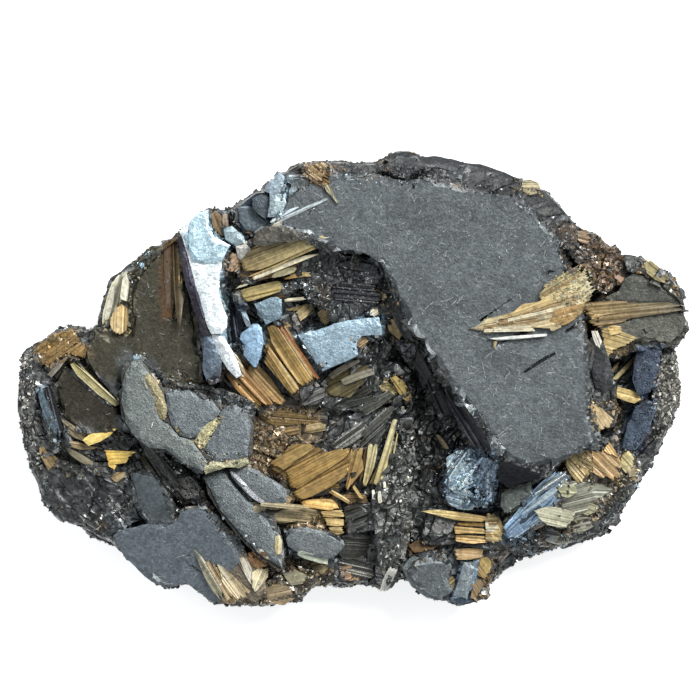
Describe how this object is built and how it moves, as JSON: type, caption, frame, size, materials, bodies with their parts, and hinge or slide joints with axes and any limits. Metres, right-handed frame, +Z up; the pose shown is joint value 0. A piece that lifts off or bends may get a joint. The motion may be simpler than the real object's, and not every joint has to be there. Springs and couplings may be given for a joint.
{
  "type": "mineral specimen",
  "caption": "Broken group of platy grey hematite crystals carrying sheaves of golden rutile blades; lies on its flat underside.",
  "frame": {"origin": "centre of the whole stone's box in X and Y, at the flat underside", "axes": "+Z up, away from the flat underside; +X along the stone's long side, towards the end with the great plate and the right lobe"},
  "size_m": [0.0504, 0.0342, 0.0124],
  "materials": {
    "hematite": "grey metallic crystal faces with rough sparkling breaks",
    "rutile_gold": "golden striated blades with a bright lustre",
    "rutile_amber": "red-brown to orange striated blades",
    "rutile_straw": "pale straw-coloured striated blades"
  },
  "bodies": {
    "root": {"hematite": "hematite", "rutile_upper_fan": "rutile_gold", "rutile_upper_blades": "rutile_gold", "rutile_amber_bundle": "rutile_amber", "rutile_centre_sheaf": "rutile_gold", "rutile_centre_boards": "rutile_gold", "rutile_needles": "rutile_gold", "rutile_lower_boards": "rutile_straw", "rutile_right_spray": "rutile_gold", "rutile_east_band": "rutile_straw", "rutile_east_steps": "rutile_gold", "rutile_bar": "rutile_straw", "rutile_southeast_fan": "rutile_straw", "rutile_south_sheaf": "rutile_gold", "rutile_west_blade": "rutile_straw", "rutile_west_flake_1": "rutile_gold", "rutile_west_flake_2": "rutile_gold", "rutile_northwest_bundle": "rutile_amber", "rutile_north_patch": "rutile_gold", "rutile_southwest_blades": "rutile_gold"}
  },
  "joints": []
}
